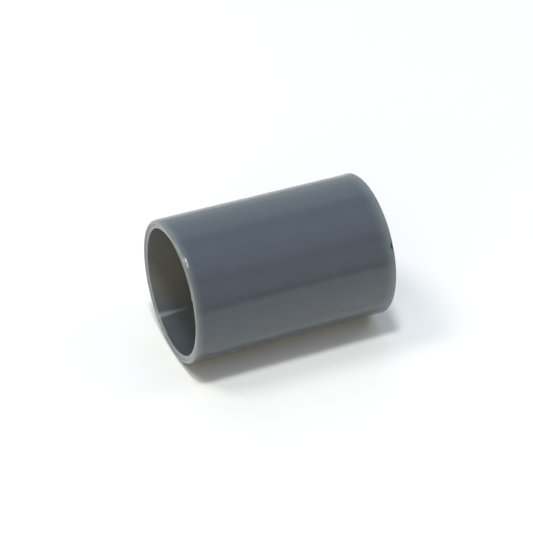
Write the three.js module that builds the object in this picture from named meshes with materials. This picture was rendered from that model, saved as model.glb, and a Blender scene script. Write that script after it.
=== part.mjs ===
// Straight push fit coupling for small plastic pipe: one moulding with a socket at each end and a
// stop ring between them, against which the two pipe ends rest.
//
// Millimetres, +Z up. The sleeve lies on its side along X, and the origin is its centre: the point
// on the axis halfway through the stop ring.
import * as THREE from "three";

// Driving dimensions
const PIPE_DIAMETER = 21.5; // the pipe that pushes into each socket
const MOUTH_PLAY = 0.2; // how much wider than the pipe the bore is, just inside its lead-in
const SEAT_GRIP = 0.1; // how much narrower than the pipe the bore is at the stop ring
const WALL_AT_MOUTH = 1.65;
const SOCKET_DEPTH = 17.25;
const STOP_WIDTH = 1.6;
const STOP_HEIGHT = 1.1; // stands in from the bore, and is a little less than the pipe's own wall

// Edges
const OUTER_EDGE_RADIUS = 0.3; // outside corner of each rim
const LEAD_IN_RADIUS = 0.35; // inside corner of each rim
const STOP_ROOT_RADIUS = 0.3;
const STOP_EDGE_RADIUS = 0.25;

// Facets
const SIDES = 96; // round the axis
const ARC_STEPS = 4; // along each rounded corner

// Worked out from the above
const HALF_LENGTH = SOCKET_DEPTH + STOP_WIDTH / 2;
const HALF_STOP = STOP_WIDTH / 2;
const BORE_AT_MOUTH = (PIPE_DIAMETER + MOUTH_PLAY) / 2;
const BORE_AT_STOP = (PIPE_DIAMETER - SEAT_GRIP) / 2;
const OUTER_RADIUS = BORE_AT_MOUTH + WALL_AT_MOUTH;
const STOP_RADIUS = BORE_AT_STOP - STOP_HEIGHT;

// A rounded corner as points of (distance from the axis, place along it), from one angle to another.
function corner(radius, centreOut, centreAlong, fromAngle, toAngle) {
  const points = [];
  for (let step = 0; step <= ARC_STEPS; step++) {
    const angle = fromAngle + ((toAngle - fromAngle) * step) / ARC_STEPS;
    points.push(
      new THREE.Vector2(
        centreOut + radius * Math.cos(angle),
        centreAlong + radius * Math.sin(angle),
      ),
    );
  }
  return points;
}

// The corners of half the wall's section: from the stop ring, out along the bore and round the rim
// to the outside, which is one straight line to the other half.
function halfSection() {
  const stopEdge = corner(
    STOP_EDGE_RADIUS,
    STOP_RADIUS + STOP_EDGE_RADIUS,
    HALF_STOP - STOP_EDGE_RADIUS,
    Math.PI,
    Math.PI / 2,
  );
  const stopRoot = corner(
    STOP_ROOT_RADIUS,
    BORE_AT_STOP - STOP_ROOT_RADIUS,
    HALF_STOP + STOP_ROOT_RADIUS,
    -Math.PI / 2,
    0,
  );
  const leadIn = corner(
    LEAD_IN_RADIUS,
    BORE_AT_MOUTH + LEAD_IN_RADIUS,
    HALF_LENGTH - LEAD_IN_RADIUS,
    Math.PI,
    Math.PI / 2,
  );
  const outerEdge = corner(
    OUTER_EDGE_RADIUS,
    OUTER_RADIUS - OUTER_EDGE_RADIUS,
    HALF_LENGTH - OUTER_EDGE_RADIUS,
    Math.PI / 2,
    0,
  );
  return [...stopEdge, ...stopRoot, ...leadIn, ...outerEdge];
}

// The whole section: down one half and back up the other, closed where it began.
function wholeSection() {
  const upper = halfSection();
  const lower = upper.map((point) => new THREE.Vector2(point.x, -point.y));
  return [...lower, ...upper.toReversed(), lower[0].clone()];
}

function couplingBody() {
  const geometry = new THREE.LatheGeometry(wholeSection(), SIDES);
  geometry.rotateZ(-Math.PI / 2); // the lathe turns about Y, and the coupling lies along X
  const greyPvc = new THREE.MeshStandardMaterial({
    color: 0x484e56,
    roughness: 0.25,
    metalness: 0,
  });
  const body = new THREE.Mesh(geometry, greyPvc);
  body.name = "coupling_body";
  return body;
}

const coupling = new THREE.Group();
coupling.name = "push_fit_coupling";
coupling.add(couplingBody());

export default coupling;
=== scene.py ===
# %% [markdown]
# # A push fit coupling for overflow pipe
#
# This is the plainest fitting in a plumber's box: a short plastic sleeve with a socket at each end.
# Two pieces of 21.5 mm overflow pipe push in, one from each side, until they meet a low ring halfway
# along, and the fit alone holds them. It is one injection moulding, so there is one piece to build,
# and all the care goes into its edges, its surface and the small marks on it.
#
# The plan: read the sizes from the frame, draw the wall's section as a formula, spin it round the
# axis with bmesh, press the small marks into the mesh, give it moulded PVC-U, then set a pale floor,
# soft studio light and a camera.

# %% Load the frame
import bmesh
import bpy
import math
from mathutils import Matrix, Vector, noise


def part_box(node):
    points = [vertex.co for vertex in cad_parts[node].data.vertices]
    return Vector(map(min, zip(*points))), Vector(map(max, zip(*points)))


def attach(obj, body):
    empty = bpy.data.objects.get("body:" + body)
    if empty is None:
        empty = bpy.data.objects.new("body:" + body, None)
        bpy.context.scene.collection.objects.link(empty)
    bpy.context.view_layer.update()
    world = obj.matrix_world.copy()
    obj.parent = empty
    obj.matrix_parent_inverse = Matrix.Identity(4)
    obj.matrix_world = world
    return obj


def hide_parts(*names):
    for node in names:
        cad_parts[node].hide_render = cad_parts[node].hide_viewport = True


MM = 0.001

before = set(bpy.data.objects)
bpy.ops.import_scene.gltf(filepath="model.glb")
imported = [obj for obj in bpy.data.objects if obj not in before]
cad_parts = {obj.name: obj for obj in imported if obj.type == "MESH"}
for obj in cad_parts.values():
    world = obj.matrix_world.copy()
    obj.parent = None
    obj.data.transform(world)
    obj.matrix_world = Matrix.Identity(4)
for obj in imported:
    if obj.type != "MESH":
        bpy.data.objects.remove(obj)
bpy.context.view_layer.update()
low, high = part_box("coupling_body")
half_length = (high.x - low.x) / 2
outer_radius = (high.z - low.z) / 2
print(f"sleeve {2 * half_length / MM:.1f} mm long, {2 * outer_radius / MM:.1f} mm across")

# %% [markdown]
# ## The camera
#
# A long lens from about twelve diameters away keeps the two long edges of the sleeve almost
# parallel, as in a catalogue picture. A camera is easiest to place the way a photographer thinks of
# it: how far round, how far up, how far away, and which point it aims at. The alternative, typing a
# location and three rotations, hides those choices. The aim is a hair to the left of and above the
# sleeve's middle, so that the sleeve sits a hair right of and below the picture's middle.

# %% Camera
CAMERA_ROUND = math.radians(-23.78)  # towards the left socket, which then shows its mouth
CAMERA_UP = math.radians(35.25)
CAMERA_DISTANCE = 310 * MM
AIM_LEFT = 0.35 * MM
AIM_ABOVE = 0.15 * MM
LENS = 123.1  # focal length and sensor width in mm, the way Blender's camera wants them
SENSOR_WIDTH = 36
NEAREST_SEEN, FURTHEST_SEEN = 10 * MM, 10


def direction(around, up):
    """A unit vector from the origin: around from -Y towards +X, and up from level."""
    return Vector((
        math.sin(around) * math.cos(up),
        -math.cos(around) * math.cos(up),
        math.sin(up),
    ))


def make_camera():
    data = bpy.data.cameras.new("catalogue_camera")
    data.lens = LENS
    data.sensor_width = SENSOR_WIDTH
    data.clip_start = NEAREST_SEEN
    data.clip_end = FURTHEST_SEEN
    camera = bpy.data.objects.new("catalogue_camera", data)
    bpy.context.scene.collection.objects.link(camera)
    towards = direction(CAMERA_ROUND, CAMERA_UP)
    turn = towards.to_track_quat("Z", "Y")
    aim = turn @ Vector((-AIM_LEFT, AIM_ABOVE, 0))
    camera.rotation_euler = turn.to_euler()
    camera.location = aim + towards * CAMERA_DISTANCE
    bpy.context.scene.camera = camera
    return camera


camera = make_camera()
print("camera at", [round(v / MM, 1) for v in camera.location], "mm")

# %% [markdown]
# ## Corners and straights
#
# A moulded sleeve has no sharp corner anywhere, because molten plastic never quite fills one. The
# whole shape is in the section of its wall, so the section is drawn with care, and the rest is one
# turn round the axis. It could be drawn as a curve object and spun by a Screw modifier. Here it is a
# list of points (along the axis, out from it), made by two small helpers: one for a rounded corner
# and one for a straight run. Then every radius has a name.

# %% Corners and straights
ARC_STEPS = 6


def arc(along, out, radius, start, end):
    """Points on a rounded corner, from one angle to another: 0 points out, 90 along the axis."""
    angles = [math.radians(start + (end - start) * step / ARC_STEPS) for step in range(ARC_STEPS + 1)]
    return [(along + radius * math.sin(a), out + radius * math.cos(a)) for a in angles]


def run(start, end, steps):
    """Points between two corners, without the corners themselves."""
    return [
        tuple(s + (e - s) * step / steps for s, e in zip(start, end))
        for step in range(1, steps)
    ]


print(len(arc(0, 0, 1, 0, 90)), "points on each corner")

# %% [markdown]
# ## The section of the wall
#
# Going round it: the flat of the stop ring, its rounded corner, its face, the small root fillet, the
# bore that widens a little towards the mouth so that the core could be pulled out, the crisp inner
# edge, the face of the rim, which is dished to guide the pipe in, and the corner outside. Only half
# of it is worked out. The other socket is its mirror image.

# %% Section of the wall
WALL_AT_MOUTH = 1.56 * MM
BORE_TAPER = 0.24 * MM  # how much the bore's radius shrinks from the mouth to the stop ring
STOP_WIDTH = 1.6 * MM
STOP_HEIGHT = 1.1 * MM
STOP_CORNER = 0.25 * MM
STOP_ROOT = 0.3 * MM
INNER_EDGE = 0.09 * MM
OUTER_CORNER = 0.3 * MM
RIM_DISH = math.radians(11)  # how far the rim's face slopes in towards the bore
STEPS_ON_STOP, STEPS_IN_BORE, STEPS_ON_RIM = 4, 24, 8
FINE_ZONE = 1.9 * MM  # next to each rim the outside has its points close together
STEPS_IN_FINE_ZONE, STEPS_OUTSIDE = 16, 28

bore_at_mouth = outer_radius - WALL_AT_MOUTH
bore_at_stop = bore_at_mouth - BORE_TAPER
stop_radius = bore_at_stop - STOP_HEIGHT
half_stop = STOP_WIDTH / 2


def rim():
    """The inner edge, the dished face and the outer corner of a rim."""
    tilt = 90 + math.degrees(RIM_DISH)
    corner = arc(half_length - OUTER_CORNER, outer_radius - OUTER_CORNER, OUTER_CORNER, tilt, 0)
    corner_along, corner_out = corner[0]
    edge_out = bore_at_mouth + INNER_EDGE * (1 - math.sin(RIM_DISH))
    slope = (corner_out - edge_out) * math.tan(RIM_DISH)
    edge_along = corner_along - slope - INNER_EDGE * math.cos(RIM_DISH)
    edge = arc(edge_along, bore_at_mouth + INNER_EDGE, INNER_EDGE, 180, tilt)
    return edge + run(edge[-1], corner[0], STEPS_ON_RIM) + corner


def half_section():
    """From the middle of the stop ring, through the bore and round the rim, to the outside."""
    middle = (0, stop_radius)
    corner = arc(half_stop - STOP_CORNER, stop_radius + STOP_CORNER, STOP_CORNER, 180, 90)
    root = arc(half_stop + STOP_ROOT, bore_at_stop - STOP_ROOT, STOP_ROOT, -90, 0)
    end = rim()
    fine_end = (half_length - FINE_ZONE, outer_radius)
    points = [middle] + run(middle, corner[0], STEPS_ON_STOP) + corner
    points += run(corner[-1], root[0], STEPS_ON_STOP) + root
    points += run(root[-1], end[0], STEPS_IN_BORE) + end
    points += run(end[-1], fine_end, STEPS_IN_FINE_ZONE) + [fine_end]
    return points + run(fine_end, (0, outer_radius), STEPS_OUTSIDE)


def whole_section():
    """The half, and its mirror image back to the start: a closed loop."""
    half = half_section()
    mirrored = [(-along, out) for along, out in reversed(half[1:])]
    return half + [(0, outer_radius)] + mirrored


moulded_section = whole_section()
print(len(moulded_section), "points round the section")

# %% [markdown]
# ## How the outside shrank
#
# A perfect cylinder looks like a drawing. In the mould the wall shrinks inwards as it cools, by about
# a tenth of a millimetre, and by a little more over the stop ring, where the plastic is thickest. At
# the right end, where the mould's two plates met, the rim kept its full size and stands out as a low
# lip. The left end eases down instead. None of this is seen as a shape. It is seen in the
# highlights, which bend near the ends. It could be a displacement texture, but moving the section's
# own points is exact and cheap.

# %% Shrink the outside of the section
WALL_SINK = 0.10 * MM
STOP_SINK = 0.02 * MM
STOP_SINK_SPREAD = 1.6 * MM
LIP_HEIGHT = 0.10 * MM
LIP_RUN = 1.6 * MM  # how far in from the right rim the lip begins
EASE_DEPTH = 0.10 * MM
EASE_RUN = 1.3 * MM  # how far in from the left rim the outside begins to ease down


def near_end(distance, length):
    """0 inside the sleeve, growing to 1 at the rim, ever more steeply."""
    return max(1 - distance / length, 0) ** 2


def sink(along):
    """How far inside its moulded size the outside lies, at a place along the axis."""
    lip = LIP_HEIGHT * near_end(half_length - along, LIP_RUN)
    ease = EASE_DEPTH * near_end(half_length + along, EASE_RUN)
    return WALL_SINK - lip + ease + STOP_SINK * math.exp(-(along / STOP_SINK_SPREAD) ** 2)


middle_of_wall = (bore_at_mouth + outer_radius) / 2
section = [
    (along, out - sink(along)) if out > middle_of_wall else (along, out)
    for along, out in moulded_section
]
for place, along in (("left rim", -half_length), ("middle", 0), ("lip", half_length)):
    print(f"outside pulled in by {sink(along) / MM:.2f} mm at the {place}")

# %% [markdown]
# ## Waves in the outside
#
# The steel was polished by hand, along the sleeve, and plastic pulls back from it unevenly. So the
# outside is very slightly wavy, in waves some 10 mm long and 3 or 4 mm wide, and straight reflections
# in it wander. A noise in a bump map would bend the reflections too, but as shape it also shows in
# the mesh itself. Every wave or mark from here on is a function of where a point lies: along the
# axis, out from it, and the angle round it, from the top towards the front.

# %% Waves
WAVE_HEIGHT = 0.022 * MM
WAVE_LENGTH, WAVE_WIDTH = 10 * MM, 3.4 * MM
CALM_ZONE = 3 * MM  # next to each rim, where the waves die down


def wave(along, angle):
    calm = min((half_length - abs(along)) / CALM_ZONE, 1)
    place = Vector((
        along / WAVE_LENGTH,
        outer_radius * math.sin(angle) / WAVE_WIDTH,
        outer_radius * math.cos(angle) / WAVE_WIDTH,
    ))
    return WAVE_HEIGHT * calm * noise.noise(place)


heights = [wave(0, math.radians(degrees)) / MM for degrees in range(360)]
print(f"waves from {min(heights):.3f} to {max(heights):.3f} mm round the middle")

# %% [markdown]
# ## Marks on the rims
#
# Three marks are pressed into the rims. A small dent lies at the edge of the right one, and is
# painted black, as painted shade inside it. A crumb of torn plastic stands up on the inner edge of
# the left one. Two small knocks lie on the outside just in from the left one, where the light's glint
# falls. The crumb and the knocks are painted white, a painted highlight where they catch the light.
#
# Each is a soft bump: 1 at its middle and 0 outside its width and length. They could be painted on in
# the material alone, but as shape they also catch the light from the side.

# %% Marks on the rims
# Painted shade: the dent at the right rim's edge is painted black, as the shade inside it.
DENT_AT = math.radians(60)
DENT_LENGTH, DENT_WIDTH, DENT_DEPTH = 1.8 * MM, 0.45 * MM, 0.10 * MM
CRUMB_AT = math.radians(62)
CRUMB_LENGTH, CRUMB_WIDTH, CRUMB_HEIGHT = 0.7 * MM, 0.5 * MM, 0.18 * MM
# Painted highlight: the knocks lie where the overhead light's glint falls on the left rim.
KNOCKS_AT = (math.radians(31.6), math.radians(35.6))
KNOCK_LENGTH, KNOCK_WIDTH, KNOCK_DEPTH = 1.3 * MM, 0.3 * MM, 0.03 * MM
KNOCK_IN = 0.6 * MM  # from the rim


def bump(offset, half_width):
    """1 at the middle of a mark, easing to 0 at its edge."""
    t = min(abs(offset) / half_width, 1)
    return (1 - t * t) ** 2


def turn_from(angle, middle):
    """The angle from the middle of a mark, the short way round."""
    return (angle - middle + math.pi) % (2 * math.pi) - math.pi


# Its mask also paints the dent black, as painted shade.
def rim_dent(along, out, angle):
    if out < middle_of_wall:
        return 0
    across = bump(half_length - DENT_WIDTH / 2 - along, DENT_WIDTH)
    return across * bump(turn_from(angle, DENT_AT) * outer_radius, DENT_LENGTH / 2)


# Its mask also paints the crumb white, as a painted highlight.
def crumb(along, out, angle):
    if out > middle_of_wall:
        return 0
    across = bump(half_length - CRUMB_WIDTH / 2 + along, CRUMB_WIDTH / 2)
    return across * bump(turn_from(angle, CRUMB_AT) * bore_at_mouth, CRUMB_LENGTH / 2)


# Its mask also paints the knocks white, as a painted highlight.
def knock(along, out, angle):
    if out < middle_of_wall:
        return 0
    across = bump(half_length - KNOCK_IN + along, KNOCK_WIDTH / 2)
    return across * max(
        bump(turn_from(angle, middle) * outer_radius, KNOCK_LENGTH / 2) for middle in KNOCKS_AT
    )


def painted_glints(along, out, angle):
    """Painted highlight: the knocks and the crumb are painted white where they catch the light."""
    return max(knock(along, out, angle), crumb(along, out, angle))


print("the deepest is", DENT_DEPTH / MM, "mm, and the highest", CRUMB_HEIGHT / MM, "mm")

# %% [markdown]
# ## A groove, and painted light
#
# The left socket has a drag mark, where the core scraped the wall on its way out: wide at the mouth,
# narrow and faint further in, and painted paler along its length. Above it the bore is painted a
# lighter, warm greyish brown, a painted warm glow that fades out over the top of the bore. Both rims,
# and a little of the outside next to them, are painted paler than the rest, a painted highlight on
# the ends. Only the drag mark is deep enough to press in. The others are painted colour with no
# thickness, and only the material needs to know them.

# %% Groove and painted light
DRAG_AT = math.radians(214.3)
DRAG_LENGTH, DRAG_DEPTH = 6.0 * MM, 0.015 * MM
DRAG_WIDTH_AT_MOUTH, DRAG_WIDTH_AT_END = 1.7 * MM, 0.9 * MM
# Painted warm glow in the bore, called film below: how far round it spreads from the drag mark, and
# over how many degrees it rises and fades.
GLOW_SPREAD = 130  # degrees from the drag mark to where the film ends
GLOW_RISES, GLOW_FADES = 30, 50  # degrees, at its beginning and at its end
# Painted highlight: how far in from each rim the rims' paler painted colour reaches.
HIGHLIGHT_RUN_LEFT, HIGHLIGHT_RUN_RIGHT = 1.7 * MM, 2.6 * MM  # how far in from each rim it is paler


# The same mask also paints a paler streak along the groove.
def drag(along, out, angle):
    depth = (half_length + along) / DRAG_LENGTH
    if out > middle_of_wall or depth > 1:
        return 0
    width = DRAG_WIDTH_AT_MOUTH + (DRAG_WIDTH_AT_END - DRAG_WIDTH_AT_MOUTH) * min(depth * 2, 1)
    return bump(turn_from(angle, DRAG_AT) * bore_at_mouth, width / 2) * (1 - depth ** 2)


# Painted warm glow: the upper part of the left bore is painted lighter and warmer, in place of the warm
# light that falls there.
def warm_glow(along, out, angle):
    past_drag = math.degrees(turn_from(angle, DRAG_AT))
    if out > bore_at_mouth + INNER_EDGE or along > -half_stop or past_drag < 0:
        return 0
    return min(past_drag / GLOW_RISES, 1) * min(max((GLOW_SPREAD - past_drag) / GLOW_FADES, 0), 1)


# Painted highlight: the rim faces and the outside next to them are painted paler, in place of the light
# on the rounded ends.
def painted_rim_highlight(along, out, angle):
    if out < bore_at_mouth + INNER_EDGE / 2:
        return 0
    return near_end(half_length - abs(along), HIGHLIGHT_RUN_LEFT if along < 0 else HIGHLIGHT_RUN_RIGHT)


def pressed(along, out, angle):
    """The distance from the axis once the waves and the marks are pressed in."""
    if out > middle_of_wall:
        out += wave(along, angle)
    out -= DENT_DEPTH * rim_dent(along, out, angle) + KNOCK_DEPTH * knock(along, out, angle)
    out -= CRUMB_HEIGHT * crumb(along, out, angle)
    return out + DRAG_DEPTH * drag(along, out, angle)


print(f"film from {math.degrees(DRAG_AT):.0f} to {math.degrees(DRAG_AT) + GLOW_SPREAD:.0f} degrees")

# %% [markdown]
# ## Spinning the section
#
# bmesh makes the rings one by one and joins each to the next with quads. 440 steps round a 25 mm
# sleeve are 0.18 mm apart, fine enough for the outline to look round in a close view, and for marks
# a millimetre long. Each vertex also remembers how much it carries of each mark, in named attributes
# that the material reads later: the painted highlight on the rims and ends, the painted warm glow in
# the bore, the paler streak along the groove, the painted highlight on the knocks and the crumb, and
# the painted shade in the dent. A Screw modifier would spin the section in one step, but then the
# marks would need a second pass over the mesh.

# %% Spin the section into a closed mesh
STEPS_ROUND = 440
MARKS = {"painted_rim_highlight": painted_rim_highlight, "painted_warm_glow": warm_glow, "pale_streak": drag, "painted_glints": painted_glints, "painted_dent_shade": rim_dent}


def make_ring(work, layers, angle):
    """The section at one angle, with its marks pressed in and remembered."""
    ring = []
    for along, out in section:
        away = pressed(along, out, angle)
        vertex = work.verts.new((along, -away * math.sin(angle), away * math.cos(angle)))
        for name, mark in MARKS.items():
            vertex[layers[name]] = mark(along, out, angle)
        ring.append(vertex)
    return ring


def join(work, this, following):
    """A band of quads between two rings."""
    for i in range(len(this)):
        j = (i + 1) % len(this)
        work.faces.new((this[i], this[j], following[j], following[i]))


def spin():
    work = bmesh.new()
    layers = {name: work.verts.layers.float.new(name) for name in MARKS}
    angles = [2 * math.pi * step / STEPS_ROUND for step in range(STEPS_ROUND)]
    rings = [make_ring(work, layers, angle) for angle in angles]
    for this, following in zip(rings, rings[1:] + rings[:1]):
        join(work, this, following)
    bmesh.ops.recalc_face_normals(work, faces=work.faces)
    for face in work.faces:
        face.smooth = True
    mesh = bpy.data.meshes.new("coupling_sleeve")
    work.to_mesh(mesh)
    work.free()
    return mesh


sleeve = bpy.data.objects.new("coupling_sleeve", spin())
bpy.context.scene.collection.objects.link(sleeve)
print(len(sleeve.data.polygons), "faces")

# %% [markdown]
# ## Three helpers for materials
#
# Colours are chosen as sRGB hex values, the way a paint or plastic card gives them, but a shader
# wants linear light, so one function turns one into the other. The second function adds a node with
# its settings, its inputs and its links in one call. Without it each node would take four or five
# lines, and the material's plan would be lost among them. The third one opens an empty material.

# %% Material helpers
def linear(hex_colour):
    """An sRGB hex colour, such as 4B5157, as the linear colour that shaders take."""
    channels = [int(hex_colour[i:i + 2], 16) / 255 for i in (0, 2, 4)]
    return tuple(
        c / 12.92 if c <= 0.04045 else ((c + 0.055) / 1.055) ** 2.4 for c in channels
    ) + (1,)


def add(tree, kind, settings=None, inputs=None, links=None):
    """Adds a node, sets its properties and inputs, and links other nodes' outputs to its inputs."""
    node = tree.nodes.new(kind)
    for name, value in (settings or {}).items():
        setattr(node, name, value)
    for name, value in (inputs or {}).items():
        node.inputs[name].default_value = value
    for name, output in (links or {}).items():
        tree.links.new(output, node.inputs[name])
    return node


def new_material(name):
    """An empty material, and its node tree to fill."""
    material = bpy.data.materials.new(name)
    material.use_nodes = True
    material.node_tree.nodes.clear()
    return material, material.node_tree


print("a mid grey, 808080, is", round(linear("808080")[0], 3), "in linear light")

# %% [markdown]
# ## Moulded grey PVC-U
#
# The sleeve is unplasticised PVC, coloured all through and moulded against polished steel. That
# gives the eye a dark, slightly blue grey under a clear, fairly tight reflection: an IOR of 1.53, and
# a roughness of about 0.2. Two random patterns keep it from looking like paint on a computer model:
#
# - the pigment is unevenly stirred in, in clouds about 2.5 mm across, by a few percent
# - the steel was polished along the sleeve, and the plastic copied the lines. The real ones are a few
#   hundredths of a millimetre apart, too fine to show, so they are drawn 0.35 mm apart
#
# Both come from one function, a noise that is stretched along the sleeve as far as its two sizes say.

# %% Patterns in the plastic
def noise_pattern(tree, size_along, size_across):
    """Random blotches of one size along the sleeve and another across it."""
    place = add(tree, "ShaderNodeTexCoord")
    stretched = add(tree, "ShaderNodeMapping", {"vector_type": "POINT"}, {
        "Scale": (1 / size_along, 1 / size_across, 1 / size_across),
    }, {"Vector": place.outputs["Object"]})
    pattern = add(tree, "ShaderNodeTexNoise", inputs={"Scale": 1.0, "Detail": 2.0}, links={
        "Vector": stretched.outputs["Vector"],
    })
    return pattern.outputs["Fac"]


# %% [markdown]
# ## The colour of the plastic
#
# First come the clouds of pigment, between two close greys. Over them lie the marks that the mesh
# remembers, each as a plain colour, and the later ones over the earlier. A texture painted by hand
# could hold them too, but attributes follow the shape exactly and need no unwrapping.

# %% Colour of the plastic
CLOUD_SIZE = 2.5 * MM
PLASTIC_DARK, PLASTIC_LIGHT = "484E54", "4E545A"
MARK_COLOURS = {
    # painted highlight on the rims and the ends
    "painted_rim_highlight": "757A7C",
    # painted warm glow in the bore
    "painted_warm_glow": "656462",
    # paler streak painted along the groove
    "pale_streak": "7B8082",
    # painted highlight on the knocks and the crumb
    "painted_glints": "C4C7C8",
    # painted shade in the dent at the right rim
    "painted_dent_shade": "0D0D0D",
}


def marked_plastic(tree):
    """The plastic's own uneven colour, with each mark laid over it in turn."""
    colour = add(tree, "ShaderNodeMix", {"data_type": "RGBA"}, {
        6: linear(PLASTIC_DARK), 7: linear(PLASTIC_LIGHT),
    }, {"Factor": noise_pattern(tree, CLOUD_SIZE, CLOUD_SIZE)}).outputs[2]
    for name, tint in MARK_COLOURS.items():
        mark = add(tree, "ShaderNodeAttribute", {"attribute_name": name})
        colour = add(tree, "ShaderNodeMix", {"data_type": "RGBA"}, {7: linear(tint)}, {
            "Factor": mark.outputs["Fac"], 6: colour,
        }).outputs[2]
    return colour


print("marks laid over the plastic, in turn:", ", ".join(MARK_COLOURS))

# %% [markdown]
# ## The surface of the plastic
#
# The polishing lines make it a little duller between them than on them, and give it a grain two
# thousandths of a millimetre deep. Then the sleeve gets the material, rides on the one body there is,
# and stands for the plain sleeve of the frame.

# %% Surface of the plastic
PVC_IOR = 1.53
GLOSSIEST, DULLEST = 0.16, 0.24  # roughness on the polishing lines and between them
LINE_SPACING = 0.35 * MM
LINE_LENGTH = 12 * MM
LINE_DEPTH = 0.002 * MM


def moulded_pvc_u():
    material, tree = new_material("moulded_grey_pvc_u")
    lines = noise_pattern(tree, LINE_LENGTH, LINE_SPACING)
    roughness = add(tree, "ShaderNodeMapRange", inputs={
        "To Min": GLOSSIEST, "To Max": DULLEST,
    }, links={"Value": lines})
    grain = add(tree, "ShaderNodeBump", inputs={
        "Strength": 1.0, "Distance": LINE_DEPTH,
    }, links={"Height": lines})
    surface = add(tree, "ShaderNodeBsdfPrincipled", inputs={"IOR": PVC_IOR}, links={
        "Base Color": marked_plastic(tree),
        "Roughness": roughness.outputs["Result"],
        "Normal": grain.outputs["Normal"],
    })
    add(tree, "ShaderNodeOutputMaterial", links={"Surface": surface.outputs["BSDF"]})
    return material


grey_pvc_u = moulded_pvc_u()
sleeve.data.materials.append(grey_pvc_u)
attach(sleeve, "root")
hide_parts("coupling_body")
print(len(grey_pvc_u.node_tree.nodes), "nodes in", grey_pvc_u.name)

# %% [markdown]
# ## The floor
#
# A sheet of white paper, far larger than what the camera sees, so that no edge shows. Its surface is
# quite dull, so the sleeve leaves a shadow on it but no mirror image. Seen in the sleeve's own
# gloss, the paper in front is darker, as a table's front edge in a room is. A second, darker sheet
# could do that as well, but a Light Path node lets the same sheet play both parts.

# %% Floor
FLOOR_HALF_SIZE = 2.0
PAPER = "F2F1EF"
PAPER_IN_GLOSS = "CECECE"
PAPER_ROUGHNESS = 0.9
DARKER_FROM, DARKEST_FROM = 20 * MM, 50 * MM  # in front of the sleeve's axis


def make_sheet(name, corners, material):
    """One flat rectangle of the studio, which is no part of the object."""
    mesh = bpy.data.meshes.new(name)
    mesh.from_pydata(corners, [], [(0, 1, 2, 3)])
    mesh.materials.append(material)
    sheet = bpy.data.objects.new(name, mesh)
    bpy.context.scene.collection.objects.link(sheet)
    return sheet


def paper_in_front(tree):
    """1 for a reflection of the paper in front of the sleeve, and 0 for anything else."""
    place = add(tree, "ShaderNodeNewGeometry")
    parts = add(tree, "ShaderNodeSeparateXYZ", links={"Vector": place.outputs["Position"]})
    in_front = add(tree, "ShaderNodeMapRange", inputs={
        "From Min": -DARKER_FROM, "From Max": -DARKEST_FROM,
    }, links={"Value": parts.outputs["Y"]})
    path = add(tree, "ShaderNodeLightPath")
    return add(tree, "ShaderNodeMath", {"operation": "MULTIPLY"}, links={
        0: in_front.outputs["Result"], 1: path.outputs["Is Glossy Ray"],
    }).outputs[0]


def white_paper():
    material, tree = new_material("white_paper")
    shade = add(tree, "ShaderNodeMix", {"data_type": "RGBA"}, {
        6: linear(PAPER), 7: linear(PAPER_IN_GLOSS),
    }, {"Factor": paper_in_front(tree)})
    paper = add(tree, "ShaderNodeBsdfPrincipled", inputs={
        "Roughness": PAPER_ROUGHNESS, "Specular IOR Level": 0.0,
    }, links={"Base Color": shade.outputs[2]})
    add(tree, "ShaderNodeOutputMaterial", links={"Surface": paper.outputs["BSDF"]})
    return material


far, table = FLOOR_HALF_SIZE, -outer_radius
floor_corners = [(-far, -far, table), (far, -far, table), (far, far, table), (-far, far, table)]
floor = make_sheet("white_sheet", floor_corners, white_paper())
print(floor.name, "at", round(table / MM, 2), "mm")

# %% [markdown]
# ## A black flag
#
# Photographers stand a strip of black felt just out of sight to put a dark line into something
# shiny. Here it draws the narrow dark line low on the sleeve's front, where the far edge of the
# table would be mirrored. Only reflections see it: it throws no shadow, and takes no light from the
# sheet. A darker floor would take the light out of the whole underside instead.

# %% Black flag
FLAG_AWAY = 150 * MM
FLAG_TOP = 14 * MM
FLAG_HALF_WIDTH = 1.0
FELT = "000000"


def black_felt():
    material, tree = new_material("black_felt")
    felt = add(tree, "ShaderNodeBsdfDiffuse", inputs={"Color": linear(FELT)})
    add(tree, "ShaderNodeOutputMaterial", links={"Surface": felt.outputs["BSDF"]})
    return material


flag_corners = [
    (-FLAG_HALF_WIDTH, -FLAG_AWAY, table),
    (FLAG_HALF_WIDTH, -FLAG_AWAY, table),
    (FLAG_HALF_WIDTH, -FLAG_AWAY, FLAG_TOP),
    (-FLAG_HALF_WIDTH, -FLAG_AWAY, FLAG_TOP),
]
flag = make_sheet("black_flag", flag_corners, black_felt())
flag.visible_camera = False
flag.visible_diffuse = False
flag.visible_shadow = False
print(flag.name, FLAG_AWAY / MM, "mm in front, its top at", FLAG_TOP / MM, "mm")

# %% [markdown]
# ## Three soft lights
#
# Round softboxes a metre away. The one overhead is the smallest, and makes the dark core of the
# shadow under the sleeve. The large one behind on the left gives the shadow its long soft side, and
# the warm one on the right lights the right end. One function makes each from the direction that it
# stands in, because a light that always looks at the origin can't be aimed wrongly.

# %% Soft lights
SOFTBOX_DISTANCE = 1.0
SOFTBOXES = [  # name, direction from the sleeve, metres across, watts, colour
    ("overhead_softbox", (-0.15, -0.19, 1), 0.15, 4.65, "FAFFFD"),
    ("back_left_softbox", (-0.52, 0.25, 1), 0.34, 3.0, "FFF7F1"),
    ("right_softbox", (0.87, -0.23, 1), 0.26, 0.95, "FFFCE7"),
]


def add_softbox(name, towards, size, watts, colour):
    """A round soft light that looks at the origin from one direction."""
    data = bpy.data.lights.new(name, "AREA")
    data.shape = "DISK"
    data.size = size
    data.energy = watts
    data.color = linear(colour)[:3]
    light = bpy.data.objects.new(name, data)
    bpy.context.scene.collection.objects.link(light)
    light.location = Vector(towards).normalized() * SOFTBOX_DISTANCE
    light.rotation_euler = Vector(towards).to_track_quat("Z", "Y").to_euler()


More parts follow.
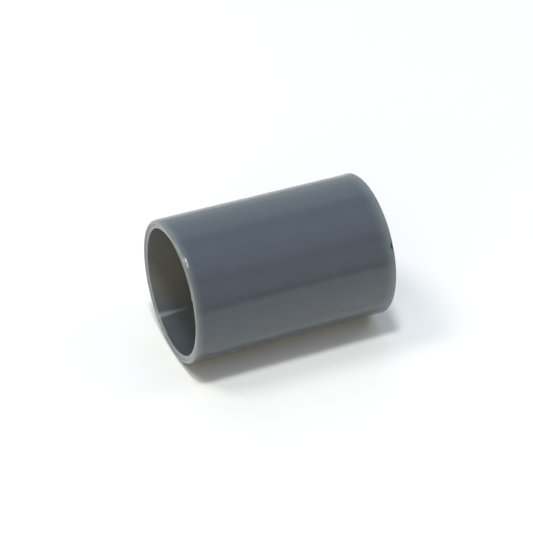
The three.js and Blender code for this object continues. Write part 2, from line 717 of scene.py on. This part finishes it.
for softbox in SOFTBOXES:
    add_softbox(*softbox)
    print(softbox[0], softbox[3], "W")

# %% [markdown]
# ## The room
#
# A glossy sleeve shows the room around it as long bands: a bright window, a grey wall, a dark gap.
# The bands run along the sleeve, so what counts is how high round the sleeve's own axis each part of
# the room stands: 0 is level in front, 0.5 overhead and 1 level behind. A colour ramp over that height
# makes the bands. One list is what the body of the sleeve shows, and the other, further to the left,
# is what the rim's face shows. An image of a real studio would do it too, but then no band could be
# moved by itself.

# %% Bands of the room
MIDDLE_OF_ROOM = [  # what it is, from this height, to this height, colour
    ("low wall in front", 0.00, 0.17, "4B5061"),
    ("dark gap above it", 0.20, 0.25, "273045"),
    ("upper wall", 0.28, 0.43, "595F7A"),
    ("ceiling", 0.44, 0.65, "636E85"),
    ("bright ceiling behind", 0.66, 0.83, "8B97A0"),
    ("wall behind", 0.84, 1.00, "8D9395"),
]
LEFT_OF_ROOM = [
    ("warm window", 0.00, 0.20, "F7F0D0"),
    ("wall above it", 0.22, 0.43, "868984"),
    ("ceiling", 0.44, 0.65, "5D605D"),
    ("unlit back", 0.66, 1.00, "000000"),
]


def bands(tree, stripes, height):
    """A ramp with one even stripe for each entry, fading where two stripes meet."""
    node = add(tree, "ShaderNodeValToRGB", links={"Fac": height})
    stops = [(edge, linear(colour)) for _, bottom, top, colour in stripes for edge in (bottom, top)]
    elements = node.color_ramp.elements
    elements[0].position, elements[0].color = stops[0]
    elements[1].position, elements[1].color = stops[-1]
    for position, colour in stops[1:-1]:
        elements.new(position).color = colour
    return node.outputs["Color"]


print(len(MIDDLE_OF_ROOM), "bands over the middle,", len(LEFT_OF_ROOM), "over the left")

# %% [markdown]
# ## Building the room
#
# The world's shader works out how high round the axis each direction stands, looks it up in the two
# ramps, and blends from one to the other towards the left. The far right is left black. The camera
# itself sees plain white, so that the sheet has no horizon.

# %% The room
ROOM_STRENGTH = 3.0  # the bands hold a third of each brightness, because a ramp's colours end at 1
LEFT_EDGE = (-0.25, -0.35)  # where the middle of the room fades into its left, as a direction's x
RIGHT_EDGE = (0.5, 0.7)
DARK = "000000"


def height_round_axis(tree, parts):
    """0 is level in front, 0.5 overhead and 1 level behind."""
    forward = add(tree, "ShaderNodeMath", {"operation": "MULTIPLY"}, {1: -1.0}, {0: parts.outputs["Y"]})
    angle = add(tree, "ShaderNodeMath", {"operation": "ARCTAN2"}, links={
        0: parts.outputs["Z"], 1: forward.outputs[0],
    })
    return add(tree, "ShaderNodeMath", {"operation": "DIVIDE"}, {1: math.pi}, {
        0: angle.outputs[0],
    }).outputs[0]


def beyond(tree, parts, edge):
    """0 on this side of a soft edge and 1 on the other, going left or right."""
    return add(tree, "ShaderNodeMapRange", inputs={
        "From Min": edge[0], "From Max": edge[1],
    }, links={"Value": parts.outputs["X"]}).outputs["Result"]


def room_colour(tree):
    facing = add(tree, "ShaderNodeTexCoord")
    parts = add(tree, "ShaderNodeSeparateXYZ", links={"Vector": facing.outputs["Generated"]})
    height = height_round_axis(tree, parts)
    with_left = add(tree, "ShaderNodeMix", {"data_type": "RGBA"}, links={
        "Factor": beyond(tree, parts, LEFT_EDGE),
        6: bands(tree, MIDDLE_OF_ROOM, height),
        7: bands(tree, LEFT_OF_ROOM, height),
    })
    with_right = add(tree, "ShaderNodeMix", {"data_type": "RGBA"}, {7: linear(DARK)}, {
        "Factor": beyond(tree, parts, RIGHT_EDGE),
        6: with_left.outputs[2],
    })
    return with_right.outputs[2]


def make_room():
    world = bpy.data.worlds.new("studio_room")
    bpy.context.scene.world = world
    world.use_nodes = True
    tree = world.node_tree
    tree.nodes.clear()
    room = add(tree, "ShaderNodeBackground", inputs={"Strength": ROOM_STRENGTH}, links={
        "Color": room_colour(tree),
    })
    white = add(tree, "ShaderNodeBackground", inputs={"Color": linear("FFFFFF")})
    path = add(tree, "ShaderNodeLightPath")
    seen = add(tree, "ShaderNodeMixShader", links={
        "Fac": path.outputs["Is Camera Ray"],
        1: room.outputs["Background"],
        2: white.outputs["Background"],
    })
    add(tree, "ShaderNodeOutputWorld", links={"Surface": seen.outputs["Shader"]})


make_room()
print("room lit at", ROOM_STRENGTH, "times its bands")

# %% [markdown]
# ## The view
#
# The picture is shown as it is, without a film-like curve, so that white paper stays white. The
# waves and marks must never push the sleeve outside the size that it was designed at.

# %% Show the picture as it is
bpy.context.scene.view_settings.view_transform = "Standard"
